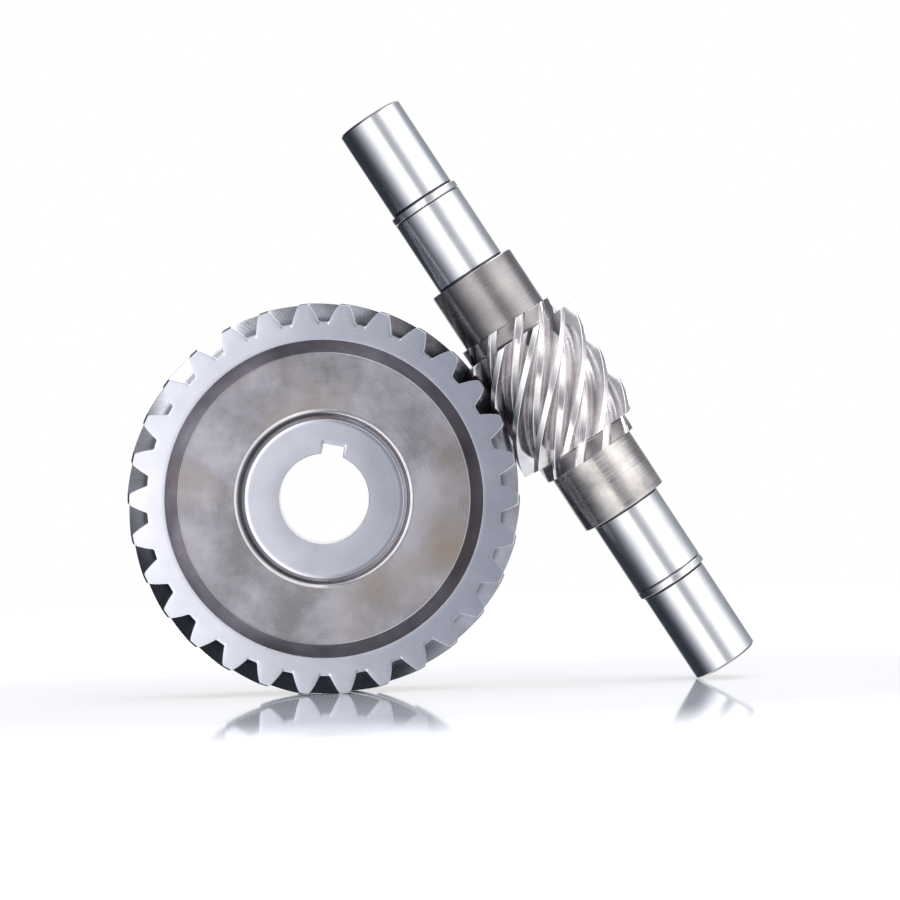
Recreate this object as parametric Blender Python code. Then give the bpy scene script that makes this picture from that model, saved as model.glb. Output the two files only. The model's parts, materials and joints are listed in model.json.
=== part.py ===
"""Worm gear set: a ten-start worm cut on its own shaft, driving a 30-tooth helical wheel.

Metres, +Z up. The origin is the wheel's centre, on the bore axis and midway between its faces.
The wheel turns about Y. The shaft crosses it at right angles, leaning to the left as it rises,
and its lower end rests on the same floor as the wheel's rim.
"""

import math

import bmesh
import bpy
from mathutils import Matrix

MM = 0.001

# The gear pair: two right-handed helical gears whose axes cross at 90 degrees
NORMAL_MODULE = 4.0 * MM
NORMAL_PRESSURE_ANGLE = math.radians(20)
WHEEL_TEETH = 30
WORM_STARTS = 10
WHEEL_HELIX = math.radians(46.5)
WORM_HELIX = math.pi / 2 - WHEEL_HELIX
CENTRE_DISTANCE = 116.0 * MM
ADDENDUM = 1.0 * NORMAL_MODULE
DEDENDUM = 1.2 * NORMAL_MODULE
TOOTH_THINNING = 0.25 * MM  # off each tooth and thread, measured square to its flanks, for backlash
FOOT_HEIGHT = 0.25 * NORMAL_MODULE  # where the flank ends above the root
FOOT_SPREAD = 0.12 * NORMAL_MODULE  # how much wider a tooth is at its root than there

# The wheel
FACE_WIDTH = 36.0 * MM
TIP_CHAMFER = 0.8 * MM
RIM_INNER_RADIUS = 74.1 * MM
WEB_OUTER_RADIUS = 68.6 * MM
HUB_RADIUS = 37.1 * MM
HUB_DRAFT = math.radians(15)
RECESS_DEPTH = 10.0 * MM
HUB_FILLET = 3.0 * MM
BORE_RADIUS = 21.0 * MM
BORE_CHAMFER = 0.8 * MM
KEYWAY_WIDTH = 10.0 * MM
KEYWAY_DEPTH = 4.4 * MM
KEYWAY_TURN = math.radians(-12.2)  # from straight up, clockwise as seen from the front
FRONT_GAP_TURN = math.radians(-91.7)  # a tooth gap of the front face, just past straight down

# The worm shaft, measured from the middle of the worm towards either end
WORM_HALF_LENGTH = 28.65 * MM
BAND_END = 36.75 * MM
SHOULDER_END = 65.75 * MM
SEAT_END = 103.45 * MM
SHAFT_HALF_LENGTH = 153.15 * MM
WORM_OFFSET = 15.5 * MM  # the worm's middle lies this far down the shaft from the wheel's centre
BAND_RADIUS = 24.0 * MM
SHOULDER_RADIUS = 21.65 * MM
SEAT_RADIUS = 17.5 * MM
JOURNAL_RADIUS = 16.25 * MM
EDGE_CHAMFER = 0.5 * MM
END_CHAMFER = 1.0 * MM
CENTRE_HOLE_RADIUS = 3.2 * MM
CENTRE_HOLE_DEPTH = 7.5 * MM
CENTRE_DRILL_RADIUS = 1.28 * MM
CENTRE_CONE = math.radians(60)

# The thrust rings, one on each end journal against the end of the bearing seat
RING_GAP = 0.3 * MM
RING_WIDTH = 3.2 * MM
RING_OUTER_RADIUS = 17.7 * MM
RING_CHAMFER = 0.4 * MM

# How finely round shapes are cut
WHEEL_SLICES = 6
WORM_SLICES = 18
BAND_SLICES = 3
TURNED_STEPS = 48
RECESS_STEPS = 72
CENTRE_HOLE_STEPS = 16
FILLET_STEPS = 3
SHARP_ANGLE = math.radians(32)
MERGE_DISTANCE = 0.001 * MM
CUT_PAST = 1.0 * MM  # how far a cutter runs past the face it opens

WHEEL_PITCH_RADIUS = WHEEL_TEETH * NORMAL_MODULE / math.cos(WHEEL_HELIX) / 2
WORM_PITCH_RADIUS = WORM_STARTS * NORMAL_MODULE / math.cos(WORM_HELIX) / 2
WHEEL_TIP_RADIUS = WHEEL_PITCH_RADIUS + ADDENDUM
WORM_LEAD = 2 * math.pi * WORM_PITCH_RADIUS / math.tan(WORM_HELIX)
WHEEL_TWIST = math.tan(WHEEL_HELIX) / WHEEL_PITCH_RADIUS  # radians for each metre of face width
WORM_TWIST = 2 * math.pi / WORM_LEAD


def shaft_lean():
    """The shaft's angle from vertical at which its lower end touches the floor under the wheel."""
    across = CENTRE_DISTANCE - (JOURNAL_RADIUS - END_CHAMFER)
    along = WORM_OFFSET + SHAFT_HALF_LENGTH
    return math.atan2(along, across) - math.asin(WHEEL_TIP_RADIUS / math.hypot(across, along))


def worm_phase(lean):
    """The angle of one thread at the worm's middle that puts the threads into the wheel's gaps."""
    pitch = 2 * math.pi / WHEEL_TEETH
    gap = FRONT_GAP_TURN - WHEEL_TWIST * FACE_WIDTH / 2
    gap_from_line_of_centres = (lean - gap) % pitch
    thread_height = WORM_OFFSET - WHEEL_PITCH_RADIUS * gap_from_line_of_centres
    return math.pi - WORM_TWIST * thread_height


def involute(angle):
    return math.tan(angle) - angle


def tooth_outline(teeth, helix):
    """(radius, angle) along one tooth and the gap after it, in the plane square to the axis."""
    pitch_radius = teeth * NORMAL_MODULE / math.cos(helix) / 2
    pressure_angle = math.atan(math.tan(NORMAL_PRESSURE_ANGLE) / math.cos(helix))
    base_radius = pitch_radius * math.cos(pressure_angle)
    root_radius = pitch_radius - DEDENDUM
    tip_radius = pitch_radius + ADDENDUM
    thickness = (math.pi * NORMAL_MODULE / 2 - TOOTH_THINNING) / math.cos(helix)

    def half_angle(radius):
        roll = math.acos(min(1.0, base_radius / radius))
        return thickness / 2 / pitch_radius + involute(pressure_angle) - involute(roll)

    low = max(root_radius + FOOT_HEIGHT, base_radius)
    flank = [tip_radius, pitch_radius, low]
    root_half_angle = half_angle(low) + FOOT_SPREAD / root_radius
    side = [(radius, half_angle(radius)) for radius in flank] + [(root_radius, root_half_angle)]
    return [(radius, -angle) for radius, angle in reversed(side)] + side


def section(teeth, outline, turn, envelope):
    """The whole outline as (x, y) points, cut down to the envelope's radius."""
    points = []
    for tooth in range(teeth):
        for radius, angle in outline:
            spot = turn + angle + 2 * math.pi * tooth / teeth
            kept = min(radius, envelope)
            points.append((kept * math.cos(spot), kept * math.sin(spot)))
    return points


def object_from(name, shape, material):
    """A bmesh made into an object, smooth where it is round and sharp at its edges."""
    bmesh.ops.recalc_face_normals(shape, faces=shape.faces)
    mesh = bpy.data.meshes.new(name)
    shape.to_mesh(mesh)
    shape.free()
    mesh.shade_smooth()
    mesh.set_sharp_from_angle(angle=SHARP_ANGLE)
    if material:
        mesh.materials.append(material)
    made = bpy.data.objects.new(name, mesh)
    bpy.context.scene.collection.objects.link(made)
    return made


def loft(name, slices, material):
    """A solid through loops of (height, points), closed at both ends."""
    shape = bmesh.new()
    loops = []
    for height, points in slices:
        loops.append([shape.verts.new((x, y, height)) for x, y in points])
    for low, high in zip(loops, loops[1:]):
        for i in range(len(low)):
            shape.faces.new((low[i - 1], low[i], high[i], high[i - 1]))
    shape.faces.new(loops[0])
    shape.faces.new(loops[-1])
    bmesh.ops.remove_doubles(shape, verts=shape.verts, dist=MERGE_DISTANCE)
    return object_from(name, shape, material)


def turned(name, profile, steps, material):
    """A closed outline of (radius, height) turned about Z. Points on the axis make poles."""
    shape = bmesh.new()
    verts = [shape.verts.new((radius, 0, height)) for radius, height in profile]
    edges = [shape.edges.new((verts[i - 1], verts[i])) for i in range(len(verts))]
    bmesh.ops.spin(
        shape,
        geom=verts + edges,
        axis=(0, 0, 1),
        cent=(0, 0, 0),
        angle=2 * math.pi,
        steps=steps,
        use_merge=True,
    )
    bmesh.ops.remove_doubles(shape, verts=shape.verts, dist=MERGE_DISTANCE)
    return object_from(name, shape, material)


def cut(target, cutter, operation):
    """Applies the helper to the target as a Boolean and keeps it out of the model."""
    cutter.hide_render = True
    cutter.display_type = "WIRE"
    cutter.parent = target
    modifier = target.modifiers.new(cutter.name, "BOOLEAN")
    modifier.operation = operation
    modifier.object = cutter


def steel(name, colour, roughness):
    material = bpy.data.materials.new(name)
    material.use_nodes = True
    shader = material.node_tree.nodes["Principled BSDF"]
    shader.inputs["Base Color"].default_value = (*colour, 1)
    shader.inputs["Metallic"].default_value = 1.0
    shader.inputs["Roughness"].default_value = roughness
    return material


def mirrored(half):
    """A half profile of (radius, height) from the middle up, continued below the middle."""
    return [(radius, -height) for radius, height in reversed(half)] + half


def arc(centre, radius, start, end, steps):
    """Points of (radius, height) along an arc."""
    turns = [start + (end - start) * i / steps for i in range(steps + 1)]
    return [(centre[0] + radius * math.cos(t), centre[1] + radius * math.sin(t)) for t in turns]


def wheel_blank(material):
    """The toothed disc, its tips chamfered at both faces."""
    outline = tooth_outline(WHEEL_TEETH, WHEEL_HELIX)
    half = FACE_WIDTH / 2
    inner = half - TIP_CHAMFER
    heights = [-half] + [inner * (2 * i / WHEEL_SLICES - 1) for i in range(WHEEL_SLICES + 1)] + [half]
    slices = []
    for height in heights:
        turn = FRONT_GAP_TURN + math.pi / WHEEL_TEETH + WHEEL_TWIST * (height - half)
        envelope = WHEEL_TIP_RADIUS - max(0.0, abs(height) - inner)
        slices.append((height, section(WHEEL_TEETH, outline, turn, envelope)))
    return loft("worm_wheel", slices, material)


def recess_cutter(side):
    """The ring-shaped hollow between hub and rim, with drafted walls and a round at the web."""
    face = FACE_WIDTH / 2
    floor = face - RECESS_DEPTH
    hub_slope = math.tan(HUB_DRAFT)
    rim_slope = (RIM_INNER_RADIUS - WEB_OUTER_RADIUS) / RECESS_DEPTH
    wall_drop = RECESS_DEPTH - HUB_FILLET * (1 - math.sin(HUB_DRAFT))
    web_inner_radius = HUB_RADIUS + wall_drop * hub_slope + HUB_FILLET * math.cos(HUB_DRAFT)
    centre = (web_inner_radius, floor + HUB_FILLET)
    hub_round = arc(centre, HUB_FILLET, math.pi + HUB_DRAFT, 1.5 * math.pi, FILLET_STEPS)
    profile = [
        (HUB_RADIUS - hub_slope * CUT_PAST, face + CUT_PAST),
        *hub_round,
        (WEB_OUTER_RADIUS, floor),
        (RIM_INNER_RADIUS + rim_slope * CUT_PAST, face + CUT_PAST),
    ]
    points = [(radius, side * height) for radius, height in profile]
    return turned("recess_cutter", points, RECESS_STEPS, None)


def bore_cutter():
    """The through bore, widened by a chamfer at each face."""
    face = FACE_WIDTH / 2
    flare = BORE_RADIUS + BORE_CHAMFER + CUT_PAST
    half = [(BORE_RADIUS, face - BORE_CHAMFER), (flare, face + CUT_PAST), (0, face + CUT_PAST)]
    return turned("bore_cutter", mirrored(half), TURNED_STEPS, None)


def keyway_cutter():
    """A square-bottomed slot along the bore."""
    reach = BORE_RADIUS + KEYWAY_DEPTH
    shape = bmesh.new()
    size = Matrix.Diagonal((KEYWAY_WIDTH, reach, FACE_WIDTH + 2 * CUT_PAST, 1))
    turn = Matrix.Rotation(KEYWAY_TURN, 4, "Z")
    bmesh.ops.create_cube(shape, size=1, matrix=turn @ Matrix.Translation((0, reach / 2, 0)) @ size)
    return object_from("keyway_cutter", shape, None)


def worm_wheel(material):
    """The wheel: toothed rim, thin web and keyed hub in one piece, its axis along Z."""
    wheel = wheel_blank(material)
    cut(wheel, recess_cutter(1), "DIFFERENCE")
    cut(wheel, recess_cutter(-1), "DIFFERENCE")
    cut(wheel, bore_cutter(), "DIFFERENCE")
    cut(wheel, keyway_cutter(), "DIFFERENCE")
    wheel.rotation_euler = (math.pi / 2, 0, 0)
    return wheel


def shaft_core(material):
    """The turned shaft without its worm: shoulders, bearing seats and end journals."""
    half = [
        (SHOULDER_RADIUS, SHOULDER_END - EDGE_CHAMFER),
        (SHOULDER_RADIUS - EDGE_CHAMFER, SHOULDER_END),
        (SEAT_RADIUS, SHOULDER_END),
        (SEAT_RADIUS, SEAT_END - EDGE_CHAMFER),
        (SEAT_RADIUS - EDGE_CHAMFER, SEAT_END),
        (JOURNAL_RADIUS, SEAT_END),
        (JOURNAL_RADIUS, SHAFT_HALF_LENGTH - END_CHAMFER),
        (JOURNAL_RADIUS - END_CHAMFER, SHAFT_HALF_LENGTH),
        (0, SHAFT_HALF_LENGTH),
    ]
    return turned("worm_shaft", mirrored(half), TURNED_STEPS, material)


def worm_body(phase):
    """The threaded part. The thread gaps run out through a lower band at each end of the worm."""
    outline = tooth_outline(WORM_STARTS, WORM_HELIX)
    full = WORM_PITCH_RADIUS + ADDENDUM
    half_slices = WORM_SLICES // 2
    band_length = BAND_END - EDGE_CHAMFER - WORM_HALF_LENGTH
    half = [(WORM_HALF_LENGTH * i / half_slices, full) for i in range(half_slices + 1)]
    for i in range(BAND_SLICES + 1):
        half.append((WORM_HALF_LENGTH + band_length * i / BAND_SLICES, BAND_RADIUS))
    half.append((BAND_END, BAND_RADIUS - EDGE_CHAMFER))
    slices = []
    for height, envelope in [(-height, radius) for height, radius in reversed(half[1:])] + half:
        turn = phase + WORM_TWIST * height
        slices.append((height, section(WORM_STARTS, outline, turn, envelope)))
    return loft("worm_body", slices, None)


def centre_hole_cutter(side):
    """A lathe centre: a cone with a small drilled tip."""
    end = SHAFT_HALF_LENGTH
    tip = CENTRE_DRILL_RADIUS
    cone_foot = end - (CENTRE_HOLE_RADIUS - tip) / math.tan(CENTRE_CONE / 2)
    profile = [
        (0, end + CUT_PAST),
        (0, end - CENTRE_HOLE_DEPTH),
        (tip, end - CENTRE_HOLE_DEPTH + tip),
        (tip, cone_foot),
        (CENTRE_HOLE_RADIUS, end),
        (CENTRE_HOLE_RADIUS, end + CUT_PAST),
    ]
    points = [(radius, side * height) for radius, height in profile]
    return turned("centre_hole_cutter", points, CENTRE_HOLE_STEPS, None)


def worm_shaft(lean, material):
    """The shaft with its worm, its axis along Z and its middle at the worm's middle."""
    shaft = shaft_core(material)
    cut(shaft, worm_body(worm_phase(lean)), "UNION")
    cut(shaft, centre_hole_cutter(1), "DIFFERENCE")
    cut(shaft, centre_hole_cutter(-1), "DIFFERENCE")
    return shaft


def thrust_ring(name, side, material):
    """A plain ring around the end journal, at its height along the shaft's axis."""
    low = SEAT_END + RING_GAP
    high = low + RING_WIDTH
    bore = JOURNAL_RADIUS + RING_GAP
    profile = [
        (bore, low),
        (bore, high),
        (RING_OUTER_RADIUS - RING_CHAMFER, high),
        (RING_OUTER_RADIUS, high - RING_CHAMFER),
        (RING_OUTER_RADIUS, low + RING_CHAMFER),
        (RING_OUTER_RADIUS - RING_CHAMFER, low),
    ]
    return turned(name, [(radius, side * height) for radius, height in profile], TURNED_STEPS, material)


def shaft_axis(lean):
    """An empty at the middle of the worm with its Z axis up the shaft."""
    axis = bpy.data.objects.new("shaft_axis", None)
    axis.location = (
        CENTRE_DISTANCE * math.cos(lean) + WORM_OFFSET * math.sin(lean),
        0,
        CENTRE_DISTANCE * math.sin(lean) - WORM_OFFSET * math.cos(lean),
    )
    axis.rotation_euler = (0, -lean, 0)
    bpy.context.scene.collection.objects.link(axis)
    return axis


def main():
    for old in list(bpy.data.objects):
        bpy.data.objects.remove(old)
    lean = shaft_lean()
    axis = shaft_axis(lean)
    worm_wheel(steel("wheel_steel", (0.55, 0.56, 0.60), 0.35))
    ring_steel = steel("ring_steel", (0.66, 0.66, 0.69), 0.18)
    pieces = [
        worm_shaft(lean, steel("shaft_steel", (0.62, 0.61, 0.62), 0.22)),
        thrust_ring("thrust_ring_upper", 1, ring_steel),
        thrust_ring("thrust_ring_lower", -1, ring_steel),
    ]
    for piece in pieces:
        piece.parent = axis


main()
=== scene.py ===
"""Worm gear set: the fine surfaces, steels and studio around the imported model. Metres, +Z up."""

import json
import math

import bmesh
import bpy
import numpy as np
from mathutils import Matrix, Vector


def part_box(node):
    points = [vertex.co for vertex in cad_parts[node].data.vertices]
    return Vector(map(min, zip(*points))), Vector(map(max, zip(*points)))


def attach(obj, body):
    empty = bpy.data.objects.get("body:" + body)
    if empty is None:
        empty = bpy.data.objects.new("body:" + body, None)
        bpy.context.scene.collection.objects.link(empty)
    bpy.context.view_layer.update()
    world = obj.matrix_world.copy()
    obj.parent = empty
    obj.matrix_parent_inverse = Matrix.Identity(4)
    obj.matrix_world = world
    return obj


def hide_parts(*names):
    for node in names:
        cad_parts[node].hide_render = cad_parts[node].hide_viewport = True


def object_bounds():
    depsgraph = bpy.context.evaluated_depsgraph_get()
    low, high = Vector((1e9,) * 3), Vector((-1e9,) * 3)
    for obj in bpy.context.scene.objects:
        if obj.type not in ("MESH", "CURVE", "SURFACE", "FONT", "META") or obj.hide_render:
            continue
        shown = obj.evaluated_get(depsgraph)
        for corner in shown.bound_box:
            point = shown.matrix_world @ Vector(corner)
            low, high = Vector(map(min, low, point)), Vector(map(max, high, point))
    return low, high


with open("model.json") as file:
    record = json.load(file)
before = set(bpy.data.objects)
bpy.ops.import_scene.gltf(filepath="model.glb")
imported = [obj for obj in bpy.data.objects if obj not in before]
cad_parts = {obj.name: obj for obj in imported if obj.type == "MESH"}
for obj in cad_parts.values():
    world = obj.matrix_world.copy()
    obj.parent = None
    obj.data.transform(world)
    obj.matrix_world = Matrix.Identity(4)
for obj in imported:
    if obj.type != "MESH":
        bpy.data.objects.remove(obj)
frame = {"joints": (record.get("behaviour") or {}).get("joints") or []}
CAD_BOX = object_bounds()

MM = 0.001

# The gear pair, as designed: crossed helical gears on axes at 90 degrees
NORMAL_MODULE = 4.0 * MM
NORMAL_PRESSURE_ANGLE = math.radians(20)
WHEEL_TEETH = 30
WORM_STARTS = 10
WHEEL_HELIX = math.radians(46.5)
WORM_HELIX = math.pi / 2 - WHEEL_HELIX
ADDENDUM = 1.0 * NORMAL_MODULE
DEDENDUM = 1.2 * NORMAL_MODULE
TOOTH_THINNING = 0.25 * MM
TOOTH_FOOT = 0.25 * NORMAL_MODULE
FOOT_SPREAD = 0.12 * NORMAL_MODULE
TIP_ROUND = 0.4 * MM
ROOT_ROUND = 1.0 * MM

# The wheel
TIP_CHAMFER = 0.8 * MM
RIM_INNER_RADIUS = 74.1 * MM
WEB_OUTER_RADIUS = 68.6 * MM
HUB_FOOT_RADIUS = 39.8 * MM
HUB_RADIUS = 37.1 * MM
RECESS_DEPTH = 10.0 * MM
HUB_FILLET = 3.0 * MM
WEB_CORNER_ROUND = 0.9 * MM
BORE_RADIUS = 21.0 * MM
KEYWAY_WIDTH = 10.0 * MM
KEYWAY_DEPTH = 4.4 * MM
KEYWAY_TURN = math.radians(90 - 12.2)
KEYWAY_ROUND = 0.5 * MM
KEYWAY_MOUTH_ROUND = 0.6 * MM
FRONT_GAP_TURN = math.radians(-91.7)
TOOTH_EDGE = 0.2 * MM
FACE_EDGE = 0.4 * MM

# The worm shaft, from the middle of the worm towards either end
WORM_HALF_LENGTH = 28.65 * MM
BAND_END = 36.75 * MM
SHOULDER_END = 65.75 * MM
SEAT_END = 103.45 * MM
SHAFT_HALF_LENGTH = 153.15 * MM
BAND_RADIUS = 24.0 * MM
SHOULDER_RADIUS = 21.65 * MM
SEAT_RADIUS = 17.5 * MM
JOURNAL_RADIUS = 16.25 * MM
EDGE_ROUND = 0.5 * MM
END_CHAMFER = 1.0 * MM
RELIEF_WIDTH = 1.2 * MM
RELIEF_DEPTH = 0.4 * MM
GROOVE_LIP_ROUND = 0.1 * MM
GROOVE_ROUND = 0.15 * MM
JOURNAL_LIP_ROUND = 0.2 * MM
END_ROUND = 0.3 * MM
CENTRE_HOLE_ROUND = 0.2 * MM
CENTRE_HOLE_RADIUS = 3.2 * MM
CENTRE_HOLE_DEPTH = 7.5 * MM
CENTRE_DRILL_RADIUS = 1.28 * MM

# The thrust rings
RING_GAP = 0.3 * MM
RING_WIDTH = 3.2 * MM
RING_OUTER_RADIUS = 17.7 * MM
RING_ROUND = 0.3 * MM

# Placed by the frame
HALF_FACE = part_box("worm_wheel")[1].y
WORM_JOINT = next(joint for joint in frame["joints"] if joint["name"] == "worm_spin")
SHAFT_MIDDLE = Vector(WORM_JOINT["pos_m"])
SHAFT_UP = Vector(WORM_JOINT["axis"]).normalized()
LEAN = math.atan2(-SHAFT_UP.x, SHAFT_UP.z)
WORM_OFFSET = -SHAFT_MIDDLE.dot(SHAFT_UP)

# How finely round shapes are cut
FLANK_STEPS = 5
ROOT_STEPS = 4
ROUND_STEPS = 3
FILLET_STEPS = 8
KEYWAY_FLOOR_STEPS = 4
KEYWAY_SIDE_STEPS = 5
WHEEL_SLICES = 20
WORM_SLICES = 36
BAND_SLICES = 5
RING_STEPS = 240
QUARTER_TURN = [math.pi / 2 * i / ROUND_STEPS for i in range(ROUND_STEPS + 1)]

# How the meshes join up
TIP_MARGIN = 0.12 * MM  # a point this near the full radius still lies on a tooth's tip
COLLAR_DEPTH = 1.5 * MM  # below the tooth gaps, to the loop where teeth give way to even spacing
COLLAR_WIDTH = 2.0 * MM  # of the flat rings at the recess's inner and outer edge
KEY_COLLAR_RADIUS = BORE_RADIUS + KEYWAY_DEPTH + 2.5 * MM
KEYWAY_MOUTH_TURN = math.radians(3)  # past the keyway's mouth, where the bore's even points begin
MERGE_DISTANCE = 0.001 * MM
FLAT_FACE_WEIGHT = 90

WHEEL_PITCH_RADIUS = WHEEL_TEETH * NORMAL_MODULE / math.cos(WHEEL_HELIX) / 2
WORM_PITCH_RADIUS = WORM_STARTS * NORMAL_MODULE / math.cos(WORM_HELIX) / 2
WHEEL_TWIST = math.tan(WHEEL_HELIX) / WHEEL_PITCH_RADIUS
WORM_TWIST = math.tan(WORM_HELIX) / WORM_PITCH_RADIUS


# ---- outlines ----


def involute(angle):
    return math.tan(angle) - angle


def rounded(before, corner, after, radius, steps=ROUND_STEPS):
    """The points of an arc that replaces a corner and touches the lines on either side of it."""
    before, corner, after = (np.array(point, float) for point in (before, corner, after))
    back = (before - corner) / np.linalg.norm(before - corner)
    on = (after - corner) / np.linalg.norm(after - corner)
    half = math.acos(float(np.clip(back @ on, -1, 1))) / 2
    reach = radius / math.tan(half)
    centre = corner + (back + on) / np.linalg.norm(back + on) * radius / math.sin(half)
    start = corner + back * reach - centre
    end = corner + on * reach - centre
    sweep = math.pi - 2 * half
    shares = [i / steps for i in range(steps + 1)]
    return [
        centre + (start * math.sin((1 - t) * sweep) + end * math.sin(t * sweep)) / math.sin(sweep)
        for t in shares
    ]


def softened(points):
    """A polyline from (x, y, corner radius) points, each corner with a radius made an arc.

    A point may add how many steps its arc has.
    """
    flat = [np.array(point[:2], float) for point in points]
    path = []
    for i, point in enumerate(points):
        if point[2]:
            path += rounded(flat[i - 1], flat[i], flat[(i + 1) % len(flat)], *point[2:])
        else:
            path.append(flat[i])
    return path


def polar(radius, angle):
    return (radius * math.cos(angle), radius * math.sin(angle))


def tooth_outline(teeth, helix, band_radius=None):
    """(radii, angles) over one tooth, from the middle of one gap to just short of the next.

    A band radius gets a point of its own on each flank, so that the band cuts the flanks cleanly.
    """
    pitch_radius = teeth * NORMAL_MODULE / math.cos(helix) / 2
    pressure_angle = math.atan(math.tan(NORMAL_PRESSURE_ANGLE) / math.cos(helix))
    base_radius = pitch_radius * math.cos(pressure_angle)
    root_radius = pitch_radius - DEDENDUM
    tip_radius = pitch_radius + ADDENDUM
    thickness = (math.pi * NORMAL_MODULE / 2 - TOOTH_THINNING) / math.cos(helix)

    def half_angle(radius):
        roll = math.acos(min(1.0, base_radius / radius))
        return thickness / 2 / pitch_radius + involute(pressure_angle) - involute(roll)

    low = max(root_radius + TOOTH_FOOT, base_radius)
    foot_angle = half_angle(low) + FOOT_SPREAD / root_radius
    tip_angle = half_angle(tip_radius)
    half = [(*polar(tip_radius, share * tip_angle), 0) for share in (0, 1 / 3, 2 / 3)]
    half.append((*polar(tip_radius, tip_angle), TIP_ROUND))
    for i in range(1, FLANK_STEPS + 1):
        radius = tip_radius + (low - tip_radius) * i / FLANK_STEPS
        half.append((*polar(radius, half_angle(radius)), 0))
    if band_radius:
        share = (low - band_radius) / (low - root_radius)
        half.append((*polar(band_radius, half_angle(low) + share * (foot_angle - half_angle(low))), 0))
    half.append((*polar(root_radius, foot_angle), ROOT_ROUND, ROOT_STEPS))
    gap_angle = math.pi / teeth
    half.append((*polar(root_radius, (foot_angle + gap_angle) / 2), 0))
    half.append((*polar(root_radius, gap_angle), 0))
    side = np.array(softened(half))
    radii = np.hypot(side[:, 0], side[:, 1])
    angles = np.arctan2(side[:, 1], side[:, 0])
    return np.concatenate([radii[:0:-1], radii[:-1]]), np.concatenate([-angles[:0:-1], angles[:-1]])


def all_round(teeth, outline):
    """The outline of one tooth repeated round the gear."""
    radii, angles = outline
    turns = np.arange(teeth)[:, None] * 2 * math.pi / teeth + angles
    return np.tile(radii, teeth), turns.ravel()


def keyed_bore(count):
    """Counterclockwise points of the bore with its keyway, starting at the keyway's middle."""
    half_width = KEYWAY_WIDTH / 2
    reach = BORE_RADIUS + KEYWAY_DEPTH
    mouth = math.sqrt(BORE_RADIUS**2 - half_width**2)
    mouth_angle = math.asin(half_width / BORE_RADIUS)
    past_mouth = mouth_angle + KEYWAY_MOUTH_TURN
    slot = [(reach, half_width * i / KEYWAY_FLOOR_STEPS, 0) for i in range(KEYWAY_FLOOR_STEPS)]
    slot.append((reach, half_width, KEYWAY_ROUND))
    slot += [
        (reach + (mouth - reach) * i / KEYWAY_SIDE_STEPS, half_width, 0)
        for i in range(1, KEYWAY_SIDE_STEPS)
    ]
    slot.append((mouth, half_width, KEYWAY_MOUTH_ROUND))
    slot.append((*polar(BORE_RADIUS, past_mouth), 0))
    half = softened(slot)
    rest = count // 2 + 1 - len(half)
    half += [
        polar(BORE_RADIUS, past_mouth + (math.pi - past_mouth) * i / rest)
        for i in range(1, rest + 1)
    ]
    side = np.array(half)
    return np.concatenate([side, side[-2:0:-1] * (1, -1)])


def grown(points, distance):
    """A counterclockwise outline moved outwards, or inwards where distance is negative."""
    ahead = np.roll(points, -1, axis=0) - points
    ahead /= np.linalg.norm(ahead, axis=1)[:, None]
    behind = np.roll(ahead, 1, axis=0)
    along = ahead + behind
    along /= np.linalg.norm(along, axis=1)[:, None]
    outwards = np.stack([along[:, 1], -along[:, 0]], axis=1)
    return points + outwards * distance


def circle(radii, turns):
    return np.stack([radii * np.cos(turns), radii * np.sin(turns)], axis=1)


# ---- meshes made of loops ----


class Shell:
    """A mesh of loops with equally many points, joined by strips of quads."""

    def __init__(self, count):
        self.count = count
        self.points = []
        self.faces = []
        self.slots = []

    def loop(self, flat, height):
        self.points.append(np.column_stack([flat, np.full(self.count, height)]))
        return len(self.points) - 1

    def strip(self, low, high, slots, shift=0):
        """Quads from one loop to another, whose points may be numbered shift places on."""
        here = np.arange(self.count)
        there = (here + shift) % self.count
        near, far = low * self.count, high * self.count
        quads = [near + here, near + (here + 1) % self.count, far + (there + 1) % self.count, far + there]
        self.faces.append(np.stack(quads, axis=1))
        self.slots.append(np.broadcast_to(slots, self.count))

    def run(self, loops, slots):
        for low, high in zip(loops, loops[1:]):
            self.strip(low, high, slots)

    def build(self, name, materials, place):
        """The finished piece, in its place. own_place keeps each point as it was drawn, for the looks."""
        points = np.concatenate(self.points)
        faces = np.concatenate(self.faces)
        mesh = bpy.data.meshes.new(name)
        mesh.from_pydata(points.tolist(), [], faces.tolist())
        for material in materials:
            mesh.materials.append(material)
        mesh.polygons.foreach_set("material_index", np.concatenate(self.slots).astype(np.int32))
        shape = bmesh.new()
        shape.from_mesh(mesh)
        bmesh.ops.remove_doubles(shape, verts=shape.verts, dist=MERGE_DISTANCE)
        bmesh.ops.recalc_face_normals(shape, faces=shape.faces)
        shape.to_mesh(mesh)
        shape.free()
        own = mesh.attributes.new("own_place", "FLOAT_VECTOR", "POINT")
        spots = np.empty(len(mesh.vertices) * 3, np.float32)
        mesh.vertices.foreach_get("co", spots)
        own.data.foreach_set("vector", spots)
        mesh.transform(place)
        mesh.shade_smooth()
        piece = bpy.data.objects.new(name, mesh)
        bpy.context.scene.collection.objects.link(piece)
        weighted = piece.modifiers.new("flat_faces_stay_flat", "WEIGHTED_NORMAL")
        weighted.keep_sharp = True
        weighted.weight = FLAT_FACE_WEIGHT
        return piece


# ---- bare steel ----

MARK_SHARE = 0.14  # how much of a steel's light and dark follows its tool marks
CLOUD_RANGE = (0.35, 0.65)  # the noise that a steel's darkest and lightest colours stand for
STAIN_RANGE = (0.48, 0.66)
STAIN_PATTERN = 7.0  # a stain's patches are another slice of the noise than the clouds
PATCH_FINENESS = 2.3  # of the patches of roughness, beside the clouds
ROUGHNESS_RANGE = (0.7, 1.3)
MARK_HEIGHT = 0.01 * MM
GRIND_STRETCH = 0.85


def node_tree(material):
    material.use_nodes = True
    material.node_tree.nodes.clear()
    return material.node_tree


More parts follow.
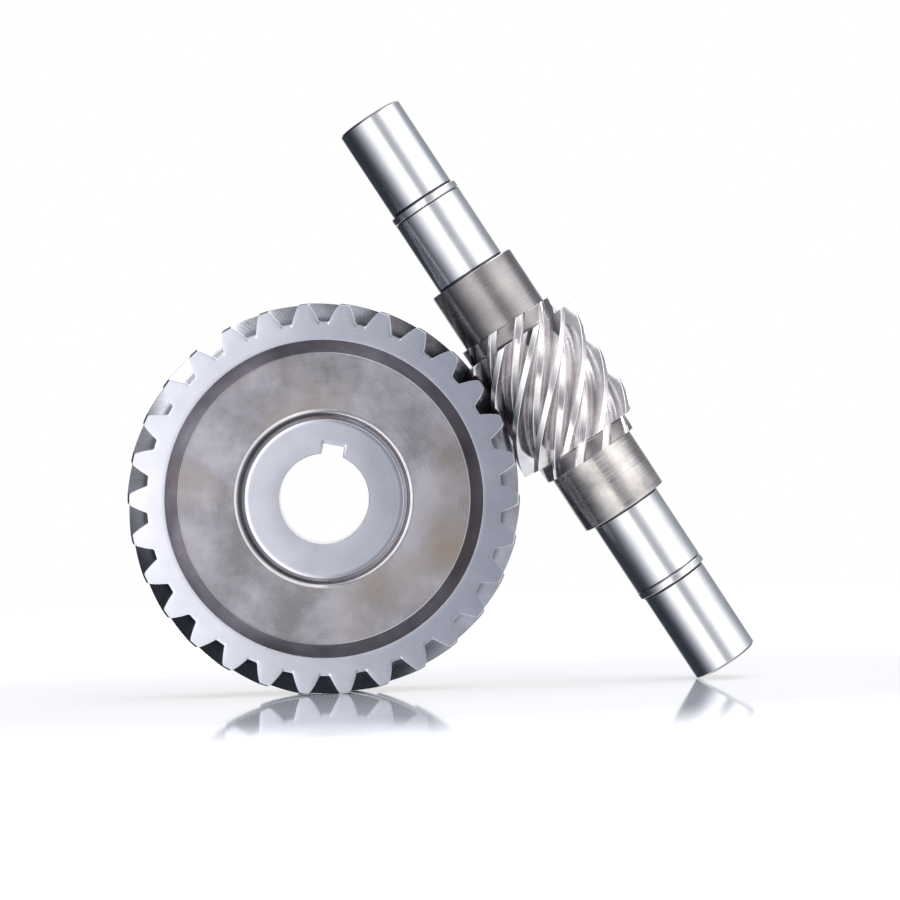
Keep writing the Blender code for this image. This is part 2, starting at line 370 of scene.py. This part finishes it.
def node(tree, kind, settings=None, **inputs):
    """A shader node. Each input, by name or as i and its number, is a value or another node's socket."""
    made = tree.nodes.new("ShaderNode" + kind)
    for name, value in (settings or {}).items():
        setattr(made, name, value)
    for name, value in inputs.items():
        numbered = name[0] == "i" and name[1:].isdigit()
        socket = made.inputs[int(name[1:]) if numbered else name.replace("_", " ")]
        if isinstance(value, bpy.types.NodeSocket):
            tree.links.new(value, socket)
        else:
            socket.default_value = value
    return made


def noise(tree, settings=None, **inputs):
    return node(tree, "TexNoise", settings, **inputs).outputs["Fac"]


def share_of(tree, value, start, end, soft=False):
    """0 where a value is at its start, 1 at its end and even between, or eased at both if soft."""
    settings = {"interpolation_type": "SMOOTHSTEP"} if soft else None
    made = node(tree, "MapRange", settings, Value=value, From_Min=start, From_Max=end)
    return made.outputs["Result"]


def mixed_colour(tree, share, colour, other):
    return node(tree, "Mix", {"data_type": "RGBA"}, Factor=share, i6=colour, i7=other).outputs[2]


def steel(
    name, dark, light, roughness, cloud=70.0, marks="axial", pitch=0.5 * MM, depth=0.2, stain=None, grind=None
):
    """Bare steel: cloudy colour, and tool marks that run round the axis or across a face.

    A stain is a third colour, in larger and softer patches than the cloud. A grind is the axis that
    fine grinding marks run round: reflections are drawn out along it.
    """
    material = bpy.data.materials.new(name)
    tree = node_tree(material)
    place = node(tree, "Attribute", {"attribute_name": "own_place"}).outputs["Vector"]
    parts = node(tree, "SeparateXYZ", Vector=place)
    if marks == "axial":
        along = parts.outputs["Z"]
    else:
        flat = node(tree, "CombineXYZ", X=parts.outputs["X"], Y=parts.outputs["Y"], Z=0.0)
        length = node(tree, "VectorMath", {"operation": "LENGTH"}, i0=flat.outputs["Vector"])
        along = length.outputs["Value"]
    lines = noise(tree, {"noise_dimensions": "1D"}, W=along, Scale=1 / pitch, Detail=2.0, Roughness=0.6)
    clouds = noise(tree, Vector=place, Scale=cloud, Detail=4.0, Roughness=0.6)
    marked = node(tree, "Math", {"operation": "MULTIPLY_ADD"}, i0=lines, i1=MARK_SHARE, i2=clouds)
    darkest, lightest = (end + MARK_SHARE / 2 for end in CLOUD_RANGE)
    tone = share_of(tree, marked.outputs["Value"], darkest, lightest)
    colour = mixed_colour(tree, tone, (*dark, 1), (*light, 1))
    if stain:
        spots = noise(
            tree, {"noise_dimensions": "4D"}, Vector=place, W=STAIN_PATTERN, Scale=cloud / 2, Detail=2.0
        )
        colour = mixed_colour(tree, share_of(tree, spots, *STAIN_RANGE), colour, (*stain, 1))
    patches = noise(tree, Vector=place, Scale=cloud * PATCH_FINENESS, Detail=3.0, Roughness=0.6)
    worn = node(tree, "Math", {"operation": "ADD"}, i0=lines, i1=patches)
    rough = node(
        tree,
        "MapRange",
        Value=worn.outputs["Value"],
        From_Min=ROUGHNESS_RANGE[0],
        From_Max=ROUGHNESS_RANGE[1],
        To_Min=roughness[0],
        To_Max=roughness[1],
    )
    bump = node(tree, "Bump", Height=lines, Strength=depth, Distance=MARK_HEIGHT)
    shader = node(
        tree,
        "BsdfPrincipled",
        Base_Color=colour,
        Metallic=1.0,
        Roughness=rough.outputs["Result"],
        Normal=bump.outputs["Normal"],
    )
    if grind:
        axis = node(tree, "CombineXYZ", X=grind.x, Y=grind.y, Z=grind.z)
        tree.links.new(axis.outputs["Vector"], shader.inputs["Tangent"])
        shader.inputs["Anisotropic"].default_value = GRIND_STRETCH
    node(tree, "OutputMaterial", Surface=shader.outputs["BSDF"])
    return material


# ---- the wheel ----

GROUND, EDGE, WALL, WEB, FLANK, TIP, BORE, LIT_FILLET = range(8)


def wheel_materials():
    return [
        steel(
            "ground_face", dark=(0.54, 0.555, 0.65), light=(0.62, 0.635, 0.74), roughness=(0.11, 0.15),
            cloud=30.0, marks="face", pitch=0.6 * MM, depth=0.05,
        ),
        steel(
            "deburred_edge", dark=(0.44, 0.46, 0.52), light=(0.56, 0.58, 0.64), roughness=(0.22, 0.32),
            cloud=90.0, marks="face",
        ),
        steel(
            "recess_wall", dark=(0.30, 0.29, 0.32), light=(0.40, 0.39, 0.43), roughness=(0.16, 0.24),
            cloud=60.0, pitch=0.5 * MM, depth=0.3,
        ),
        steel(
            "turned_web", dark=(0.24, 0.23, 0.26), light=(0.46, 0.45, 0.52), roughness=(0.26, 0.38),
            cloud=34.0, marks="face", pitch=0.7 * MM, depth=0.12, stain=(0.33, 0.28, 0.25),
        ),
        steel(
            "hobbed_flank", dark=(0.35, 0.36, 0.40), light=(0.45, 0.46, 0.51), roughness=(0.22, 0.30),
            cloud=80.0, pitch=0.9 * MM, depth=0.03,
        ),
        steel(
            "turned_tip", dark=(0.42, 0.42, 0.45), light=(0.52, 0.52, 0.56), roughness=(0.22, 0.32),
            cloud=80.0, pitch=0.4 * MM, depth=0.1,
        ),
        steel(
            "honed_bore", dark=(0.55, 0.56, 0.60), light=(0.66, 0.67, 0.71), roughness=(0.15, 0.25),
            cloud=60.0, pitch=0.4 * MM,
        ),
        # The fillet's web-side half: smoother than the web, and painted lighter as a highlight ring
        steel(
            "hub_fillet_painted_highlight", dark=(0.46, 0.45, 0.49), light=(0.62, 0.61, 0.65), roughness=(0.16, 0.22),
            cloud=60.0, marks="face", pitch=0.5 * MM, depth=0.1,
        ),
    ]


def recess_profile():
    """(radius, height) from the rim's inner edge over the web to the hub's edge, front side."""
    floor = HALF_FACE - RECESS_DEPTH
    return softened(
        [
            (RIM_INNER_RADIUS + COLLAR_WIDTH, HALF_FACE, 0),
            (RIM_INNER_RADIUS, HALF_FACE, FACE_EDGE),
            (WEB_OUTER_RADIUS, floor, WEB_CORNER_ROUND),
            (HUB_FOOT_RADIUS, floor, HUB_FILLET, FILLET_STEPS),
            (HUB_RADIUS, HALF_FACE, FACE_EDGE),
            (HUB_RADIUS - COLLAR_WIDTH, HALF_FACE, 0),
        ]
    )


def profile_slots():
    """The wheel material of each strip of the recess profile, in its order."""
    edge = [EDGE] * ROUND_STEPS
    # The fillet's web-side half takes the smoother steel, whose lighter colour is a painted highlight ring
    polished = FILLET_STEPS // 2
    outer = [GROUND, *edge, *[WALL] * (ROUND_STEPS + 1), WEB]
    inner = [*[LIT_FILLET] * polished, *[WALL] * (FILLET_STEPS - polished + 1), *edge, GROUND]
    return outer + inner


def worm_wheel():
    outline = tooth_outline(WHEEL_TEETH, WHEEL_HELIX)
    radii, turns = all_round(WHEEL_TEETH, outline)
    count = len(radii)
    tip_radius = WHEEL_PITCH_RADIUS + ADDENDUM
    collar_radius = WHEEL_PITCH_RADIUS - DEDENDUM - COLLAR_DEPTH
    shell = Shell(count)

    def turn_at(height):
        return turns + FRONT_GAP_TURN + math.pi / WHEEL_TEETH + WHEEL_TWIST * (height - HALF_FACE)

    def toothed(height):
        chamfer = max(0.0, abs(height) - (HALF_FACE - TIP_CHAMFER))
        return circle(np.minimum(radii, tip_radius - chamfer), turn_at(height))

    heights = np.linspace(-(HALF_FACE - TIP_CHAMFER), HALF_FACE - TIP_CHAMFER, WHEEL_SLICES + 1)
    flank_loops = [shell.loop(toothed(height), height) for height in heights]
    middle_radii = (radii + np.roll(radii, -1)) / 2
    flank_slots = np.where(middle_radii > tip_radius - TIP_MARGIN, TIP, FLANK)
    shell.run(flank_loops, flank_slots)

    even = turn_at(HALF_FACE)[0] + np.arange(count) * 2 * math.pi / count
    start = round((KEYWAY_TURN - even[0]) / (2 * math.pi / count))
    cosine, sine = math.cos(KEYWAY_TURN), math.sin(KEYWAY_TURN)
    bore = np.roll(keyed_bore(count) @ np.array([[cosine, sine], [-sine, cosine]]), start, axis=0)
    bore_turns = np.arctan2(bore[:, 1], bore[:, 0])
    twist_teeth = round(WHEEL_TWIST * 2 * HALF_FACE / (2 * math.pi / WHEEL_TEETH))
    bore_loops = {}
    for side, last in ((1, flank_loops[-1]), (-1, flank_loops[0])):
        face = side * HALF_FACE
        lip = side * (HALF_FACE - TOOTH_EDGE)
        edge_loops = [last, shell.loop(toothed(lip), lip)]
        for angle in QUARTER_TURN[1:]:
            height = lip + (face - lip) * math.sin(angle)
            inset = grown(toothed(height), -TOOTH_EDGE * (1 - math.cos(angle)))
            edge_loops.append(shell.loop(inset, height))
        shell.strip(edge_loops[0], edge_loops[1], flank_slots)
        shell.run(edge_loops[1:], EDGE)
        collar = shell.loop(circle(np.full(count, collar_radius), turn_at(face)), face)
        shell.strip(edge_loops[-1], collar, GROUND)
        profile = [
            shell.loop(circle(np.full(count, radius), even), side * height)
            for radius, height in recess_profile()
        ]
        shift = 0 if side > 0 else twist_teeth * (count // WHEEL_TEETH)
        shell.strip(profile[0], collar, GROUND, shift)
        for (low, high), slot in zip(zip(profile, profile[1:]), profile_slots()):
            shell.strip(low, high, slot)
        lips = [shell.loop(circle(np.full(count, KEY_COLLAR_RADIUS), bore_turns), face)]
        for angle in reversed(QUARTER_TURN):
            wider = grown(bore, FACE_EDGE * (1 - math.cos(angle)))
            lips.append(shell.loop(wider, side * (HALF_FACE - FACE_EDGE * (1 - math.sin(angle)))))
        shell.run([profile[-1], *lips[:2]], GROUND)
        shell.run(lips[1:], EDGE)
        bore_loops[side] = lips[-1]
    shell.strip(bore_loops[1], bore_loops[-1], BORE)
    place = Matrix.Rotation(math.pi / 2, 4, "X")
    return shell.build("worm_wheel_fine", wheel_materials(), place)


# ---- the worm shaft ----

THREAD, CREST, BAND, SHOULDER, SEAT, GROOVE_SHADE, HOLE_SHADE, SHAFT_EDGE, END, LOWER_SHOULDER_HIGHLIGHT = range(10)


def shaft_materials():
    return [
        steel(
            "hobbed_thread", dark=(0.60, 0.58, 0.60), light=(0.84, 0.82, 0.84), roughness=(0.14, 0.22),
            cloud=60.0, pitch=1.2 * MM, depth=0.05,
        ),
        steel(
            "ground_crest", dark=(0.78, 0.77, 0.79), light=(0.90, 0.89, 0.91), roughness=(0.16, 0.24),
            cloud=110.0, pitch=0.6 * MM, depth=0.05,
        ),
        steel(
            "turned_band", dark=(0.25, 0.23, 0.24), light=(0.36, 0.34, 0.36), roughness=(0.22, 0.32),
            cloud=80.0, pitch=0.5 * MM, depth=0.2, grind=SHAFT_UP,
        ),
        steel(
            "turned_shoulder", dark=(0.28, 0.26, 0.27), light=(0.38, 0.36, 0.37), roughness=(0.22, 0.34),
            cloud=60.0, pitch=0.8 * MM, depth=0.3, grind=SHAFT_UP,
        ),
        steel(
            "ground_seat", dark=(0.76, 0.78, 0.83), light=(0.86, 0.87, 0.91), roughness=(0.19, 0.24),
            cloud=60.0, pitch=0.3 * MM, depth=0.05, grind=SHAFT_UP,
        ),
        # Nearly black steel: painted shade in the relief grooves, and painted shadow lines at the seat's step
        steel(
            "groove_painted_shade", dark=(0.06, 0.06, 0.07), light=(0.10, 0.10, 0.11), roughness=(0.30, 0.40),
            cloud=60.0,
        ),
        # Dark steel in the centre holes: painted shade in the hollows
        steel(
            "centre_hole_painted_shade", dark=(0.22, 0.21, 0.21), light=(0.32, 0.31, 0.31), roughness=(0.30, 0.40),
            cloud=60.0, marks="face",
        ),
        steel(
            "shaft_edge", dark=(0.50, 0.49, 0.50), light=(0.62, 0.61, 0.62), roughness=(0.20, 0.30),
            cloud=60.0,
        ),
        steel(
            "faced_end", dark=(0.58, 0.58, 0.60), light=(0.70, 0.70, 0.72), roughness=(0.22, 0.32),
            cloud=60.0, marks="face", pitch=0.6 * MM, depth=0.4,
        ),
        # The lower shoulder: coarser tool marks and rougher patches than the upper one, and a lighter colour
        # that is a painted highlight
        steel(
            "marked_shoulder_painted_highlight", dark=(0.34, 0.32, 0.32), light=(0.70, 0.67, 0.67), roughness=(0.14, 0.34),
            cloud=42.0, pitch=1.4 * MM, depth=0.9, grind=SHAFT_UP,
        ),
    ]


def worm_phase():
    """The angle of one thread at the worm's middle that puts the threads into the wheel's gaps."""
    pitch = 2 * math.pi / WHEEL_TEETH
    gap = FRONT_GAP_TURN - WHEEL_TWIST * HALF_FACE
    gap_from_line_of_centres = (LEAN - gap) % pitch
    thread_height = WORM_OFFSET - WHEEL_PITCH_RADIUS * gap_from_line_of_centres
    return math.pi - WORM_TWIST * thread_height


def shaft_end_profile():
    """The points from the band's end to the shaft's end and into its centre hole, and their slots."""
    cone = (CENTRE_HOLE_RADIUS - CENTRE_DRILL_RADIUS) * math.sqrt(3)
    groove = SEAT_RADIUS - RELIEF_DEPTH
    relief_end = SHOULDER_END + RELIEF_WIDTH
    ring_end = SEAT_END + RING_GAP + RING_WIDTH
    under = JOURNAL_RADIUS - RELIEF_DEPTH
    hole_end = SHAFT_HALF_LENGTH - CENTRE_HOLE_DEPTH
    # Each row: a point as (radius, height, corner radius), its corner's slot, the slot of what follows
    rows = [
        ((SHOULDER_RADIUS, BAND_END, 0), SHOULDER, SHOULDER),
        ((SHOULDER_RADIUS, SHOULDER_END, EDGE_ROUND), SHAFT_EDGE, END),
        ((groove, SHOULDER_END, GROOVE_ROUND), GROOVE_SHADE, GROOVE_SHADE),
        ((groove, relief_end, GROOVE_LIP_ROUND), GROOVE_SHADE, GROOVE_SHADE),
        ((SEAT_RADIUS, relief_end, GROOVE_LIP_ROUND), SEAT, SEAT),
        # The seat's end edge and the journal's root corner take the nearly black steel: painted shadow lines
        # beside the ring
        ((SEAT_RADIUS, SEAT_END, EDGE_ROUND), GROOVE_SHADE, END),
        ((JOURNAL_RADIUS, SEAT_END, GROOVE_ROUND), GROOVE_SHADE, SEAT),
        ((JOURNAL_RADIUS, ring_end - RING_ROUND, 0), GROOVE_SHADE, GROOVE_SHADE),
        ((under, ring_end, 0), GROOVE_SHADE, GROOVE_SHADE),
        ((under, ring_end + RELIEF_WIDTH - RELIEF_DEPTH, 0), GROOVE_SHADE, GROOVE_SHADE),
        ((JOURNAL_RADIUS, ring_end + RELIEF_WIDTH, JOURNAL_LIP_ROUND), SEAT, SEAT),
        ((JOURNAL_RADIUS, SHAFT_HALF_LENGTH - END_CHAMFER, END_ROUND), SHAFT_EDGE, SHAFT_EDGE),
        ((JOURNAL_RADIUS - END_CHAMFER, SHAFT_HALF_LENGTH, END_ROUND), END, END),
        ((CENTRE_HOLE_RADIUS, SHAFT_HALF_LENGTH, CENTRE_HOLE_ROUND), HOLE_SHADE, HOLE_SHADE),
        ((CENTRE_DRILL_RADIUS, SHAFT_HALF_LENGTH - cone, 0), HOLE_SHADE, HOLE_SHADE),
        ((CENTRE_DRILL_RADIUS, hole_end + CENTRE_DRILL_RADIUS, 0), HOLE_SHADE, HOLE_SHADE),
        ((0, hole_end, 0), HOLE_SHADE, HOLE_SHADE),
    ]
    slots = []
    for point, corner_slot, following_slot in rows:
        slots += [corner_slot] * (ROUND_STEPS if point[2] else 0) + [following_slot]
    return softened([point for point, *_ in rows]), slots[:-1]


def worm_shaft():
    outline = tooth_outline(WORM_STARTS, WORM_HELIX, BAND_RADIUS)
    radii, turns = all_round(WORM_STARTS, outline)
    count = len(radii)
    full = WORM_PITCH_RADIUS + ADDENDUM
    phase = worm_phase()
    middle_radii = (radii + np.roll(radii, -1)) / 2
    crest_slots = np.where(middle_radii > full - TIP_MARGIN, CREST, THREAD)
    band_slots = np.where(middle_radii > BAND_RADIUS, BAND, THREAD)
    shell = Shell(count)

    def threaded(height, envelope):
        flat = circle(np.minimum(radii, envelope), turns + phase + WORM_TWIST * height)
        return shell.loop(flat, height)

    inner = WORM_HALF_LENGTH - EDGE_ROUND
    worm_loops = [threaded(height, full) for height in np.linspace(-inner, inner, WORM_SLICES + 1)]
    shell.run(worm_loops, crest_slots)
    for side, last in ((1, worm_loops[-1]), (-1, worm_loops[0])):
        crest_end = [
            threaded(side * (inner + EDGE_ROUND * math.sin(angle)), full - EDGE_ROUND * (1 - math.cos(angle)))
            for angle in QUARTER_TURN[1:]
        ]
        shell.run([last, *crest_end], crest_slots)
        round_start = BAND_END - EDGE_ROUND
        band = [
            threaded(side * height, BAND_RADIUS)
            for height in np.linspace(WORM_HALF_LENGTH, round_start, BAND_SLICES + 1)
        ]
        shell.strip(crest_end[-1], band[0], THREAD)
        band_end = [
            threaded(
                side * (round_start + EDGE_ROUND * math.sin(angle)),
                BAND_RADIUS - EDGE_ROUND * (1 - math.cos(angle)),
            )
            for angle in QUARTER_TURN[1:]
        ]
        shell.run([*band, *band_end], band_slots)
        first_turn = turns[0] + phase + side * WORM_TWIST * BAND_END
        even = first_turn + np.arange(count) * 2 * math.pi / count
        points, slots = shaft_end_profile()
        rest = [
            shell.loop(circle(np.full(count, radius), even), side * height) for radius, height in points
        ]
        shell.strip(band_end[-1], rest[0], BAND)
        for (low, high), slot in zip(zip(rest, rest[1:]), slots):
            # On the lower side the shoulder takes the lighter copy of its steel: a painted highlight
            shell.strip(low, high, LOWER_SHOULDER_HIGHLIGHT if slot == SHOULDER and side < 0 else slot)
    return shell.build("worm_shaft_fine", shaft_materials(), shaft_place())


def shaft_place():
    return Matrix.Translation(SHAFT_MIDDLE) @ Matrix.Rotation(-LEAN, 4, "Y")


def thrust_ring(name, side, material):
    low = SEAT_END + RING_GAP
    high = low + RING_WIDTH
    bore = JOURNAL_RADIUS + RING_GAP
    corners = [(bore, low), (bore, high), (RING_OUTER_RADIUS, high), (RING_OUTER_RADIUS, low)]
    shell = Shell(RING_STEPS)
    even = np.arange(RING_STEPS) * 2 * math.pi / RING_STEPS
    loops = [
        shell.loop(circle(np.full(RING_STEPS, radius), even), side * height)
        for radius, height in softened([(*corner, RING_ROUND) for corner in corners])
    ]
    shell.run([*loops, loops[0]], 0)
    return shell.build(name, [material], shaft_place())


def pieces():
    wheel = worm_wheel()
    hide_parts("worm_wheel")
    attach(wheel, "wheel")
    shaft = worm_shaft()
    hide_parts("worm_shaft")
    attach(shaft, "shaft")
    ring_steel = steel(
        "ring_steel", dark=(0.74, 0.75, 0.79), light=(0.84, 0.85, 0.88), roughness=(0.16, 0.22),
        cloud=60.0, pitch=0.4 * MM, depth=0.1, grind=SHAFT_UP,
    )
    for end, side in (("upper", 1), ("lower", -1)):
        ring = thrust_ring("thrust_ring_" + end + "_fine", side, ring_steel)
        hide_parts("thrust_ring_" + end)
        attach(ring, "fixed_rings")


# ---- the studio ----

FLOOR_SIZE = 6.0
FLOOR_MIDDLE = 0.04  # right of the wheel's axis
FLOOR_REACH = (1.2, 0.9)  # where the floor has faded out, across and towards the camera
FLOOR_FADE_START = 0.3  # as a share of that reach
FLOOR_COLOUR = (0.90, 0.91, 0.94, 1)
POLISH_REACH = (0.60, 0.29)
POLISH_FADE_START = 0.45
POLISHED_COLOUR = (0.48, 0.50, 0.56, 1)
POLISHED_ROUGHNESS = 0.06
POLISHED_IOR = 1.7
LAMP_SIZE = 1.6
LAMP_WATTS = 14.0
LAMP_PLACE = (0.05, -0.1, 1.2)
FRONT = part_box("worm_wheel")[0].y
CAMERA_DISTANCE = 1.396
CAMERA_PLACE = (0.010, 0.028)  # right and up of the wheel's axis
CAMERA_AIM = (0.0593, 0.0208)  # where the middle of the picture lies, in the plane of the wheel's front face
CAMERA_ROLL = math.radians(1.9)
CAMERA_LENS = 120.0
CAMERA_SENSOR = 36.0

# Brightness round the horizon, by azimuth in degrees: 0 is towards the camera, 90 to the right
HORIZON = [
    (-180, 1.12),
    (-168, 1.05),
    (-155, 0.05),
    (-102, 0.035),
    (-84, 0.07),
    (-67, 0.22),
    (-53, 0.45),
    (-40, 0.85),
    (-29, 1.25),
    (-18, 1.50),
    (-8, 1.80),
    (-4.5, 1.90),
    (0.6, 0.46),
    (6, 0.42),
    (12, 0.45),
    (17, 0.55),
    (22, 0.75),
    (27, 1.10),
    (33, 1.40),
    (45, 1.75),
    (60, 1.75),
    (76, 1.25),
    (94, 0.80),
    (116, 0.45),
    (144, 0.32),
    (156, 0.40),
    (168, 1.05),
    (180, 1.12),
]
HORIZON_TINT = (1.04, 1.0, 0.93)  # powers of the brightness: dim parts are bluish, bright ones warm
ABOVE_COLOUR = (0.24, 0.24, 0.25, 1)
ABOVE_EDGE = (38, 58)  # degrees up, over which the horizon's light gives way to it
BELOW_COLOUR = (0.44, 0.45, 0.48, 1)
BELOW_EDGE = (-55, -74)
WINDOW = Vector((0.40, 0.0, 0.92)).normalized()  # towards a bright window, high on the right
WINDOW_COLOUR = (1.7, 1.7, 1.7, 1)
WINDOW_EDGE = (31, 15)  # degrees away from its middle
ROOM_STRENGTH = 2.0


def horizon_light(tree, parts):
    """The colour of the horizon in a direction, by its azimuth."""
    ahead = node(tree, "Math", {"operation": "MULTIPLY"}, i0=parts.outputs["Y"], i1=-1.0)
    azimuth = node(
        tree, "Math", {"operation": "ARCTAN2"}, i0=parts.outputs["X"], i1=ahead.outputs["Value"]
    )
    place = share_of(tree, azimuth.outputs["Value"], -math.pi, math.pi)
    ramp = node(tree, "ValToRGB", Fac=place)
    stops = ramp.color_ramp.elements
    while len(stops) < len(HORIZON):
        stops.new(0.5)
    for stop, (degrees, _) in zip(stops, HORIZON):
        stop.position = (degrees + 180) / 360
    for stop, (_, brightness) in zip(stops, HORIZON):
        stop.color = (*(brightness**power / 2 for power in HORIZON_TINT), 1)
    return ramp.outputs["Color"]


def studio_light():
    """A pale room as reflections see it, bright to either side of the camera and black on the left.

    The camera itself sees plain white behind the object.
    """
    world = bpy.data.worlds.new("studio")
    bpy.context.scene.world = world
    tree = node_tree(world)
    towards = node(tree, "TexCoord").outputs["Generated"]
    parts = node(tree, "SeparateXYZ", Vector=towards)
    light = horizon_light(tree, parts)
    for (start, end), colour in ((ABOVE_EDGE, ABOVE_COLOUR), (BELOW_EDGE, BELOW_COLOUR)):
        start, end = math.sin(math.radians(start)), math.sin(math.radians(end))
        light = mixed_colour(tree, share_of(tree, parts.outputs["Z"], start, end, soft=True), light, colour)
    facing = node(tree, "VectorMath", {"operation": "DOT_PRODUCT"}, i0=towards, i1=WINDOW)
    start, end = (math.cos(math.radians(edge)) for edge in WINDOW_EDGE)
    window = share_of(tree, facing.outputs["Value"], start, end, soft=True)
    light = mixed_colour(tree, window, light, WINDOW_COLOUR)
    room = node(tree, "Background", Color=light, Strength=ROOM_STRENGTH)
    backdrop = node(tree, "Background", Color=(1, 1, 1, 1), Strength=1.0)
    rays = node(tree, "LightPath")
    shown = node(
        tree, "MixShader", Fac=rays.outputs["Is Camera Ray"], i1=room.outputs[0], i2=backdrop.outputs[0]
    )
    node(tree, "OutputWorld", Surface=shown.outputs[0])


def overhead_light():
    """A large soft box over the floor, which no reflection shows."""
    lamp = bpy.data.lights.new("overhead", "AREA")
    lamp.shape = "SQUARE"
    lamp.size = LAMP_SIZE
    lamp.energy = LAMP_WATTS
    box = bpy.data.objects.new("overhead", lamp)
    box.location = LAMP_PLACE
    box.visible_glossy = False
    box.visible_camera = False
    bpy.context.scene.collection.objects.link(box)


def floor_material():
    """Pale and polished around the object, matt further out, and clear beyond that."""
    material = bpy.data.materials.new("pale_floor")
    tree = node_tree(material)
    place = node(tree, "TexCoord").outputs["Object"]

    def faded(reach, start):
        across, ahead = reach
        scaled = node(tree, "VectorMath", {"operation": "MULTIPLY"}, i0=place, i1=(1 / across, 1 / ahead, 0))
        out = node(tree, "VectorMath", {"operation": "LENGTH"}, i0=scaled.outputs["Vector"])
        return share_of(tree, out.outputs["Value"], start, 1.0, soft=True)

    polished = node(
        tree, "BsdfPrincipled", Base_Color=POLISHED_COLOUR, Roughness=POLISHED_ROUGHNESS, IOR=POLISHED_IOR
    )
    matt = node(tree, "BsdfDiffuse", Color=FLOOR_COLOUR)
    slab = node(
        tree,
        "MixShader",
        Fac=faded(POLISH_REACH, POLISH_FADE_START),
        i1=polished.outputs["BSDF"],
        i2=matt.outputs["BSDF"],
    )
    clear = node(tree, "BsdfTransparent")
    shader = node(
        tree,
        "MixShader",
        Fac=faded(FLOOR_REACH, FLOOR_FADE_START),
        i1=slab.outputs["Shader"],
        i2=clear.outputs["BSDF"],
    )
    node(tree, "OutputMaterial", Surface=shader.outputs["Shader"])
    return material


def floor():
    """A square under the object, at the level that the wheel and the shaft stand on."""
    half = FLOOR_SIZE / 2
    corners = [(-half, -half, 0), (half, -half, 0), (half, half, 0), (-half, half, 0)]
    mesh = bpy.data.meshes.new("floor")
    mesh.from_pydata(corners, [], [(0, 1, 2, 3)])
    mesh.materials.append(floor_material())
    plane = bpy.data.objects.new("floor", mesh)
    plane.location = (FLOOR_MIDDLE, 0, CAD_BOX[0].z)
    plane.visible_glossy = False
    bpy.context.scene.collection.objects.link(plane)


def camera():
    eye = Vector((CAMERA_PLACE[0], FRONT - CAMERA_DISTANCE, CAMERA_PLACE[1]))
    aim = Vector((CAMERA_AIM[0], FRONT, CAMERA_AIM[1]))
    ahead = (aim - eye).normalized()
    right = ahead.cross(Vector((math.sin(CAMERA_ROLL), 0, math.cos(CAMERA_ROLL)))).normalized()
    up = right.cross(ahead)
    data = bpy.data.cameras.new("camera")
    data.lens = CAMERA_LENS
    data.sensor_width = CAMERA_SENSOR
    made = bpy.data.objects.new("camera", data)
    turn = Matrix((right, up, -ahead)).transposed().to_4x4()
    made.matrix_world = Matrix.Translation(eye) @ turn
    bpy.context.scene.collection.objects.link(made)
    bpy.context.scene.camera = made


pieces()
studio_light()
overhead_light()
floor()
camera()
bpy.context.scene.view_settings.view_transform = "Standard"
bpy.context.view_layer.update()
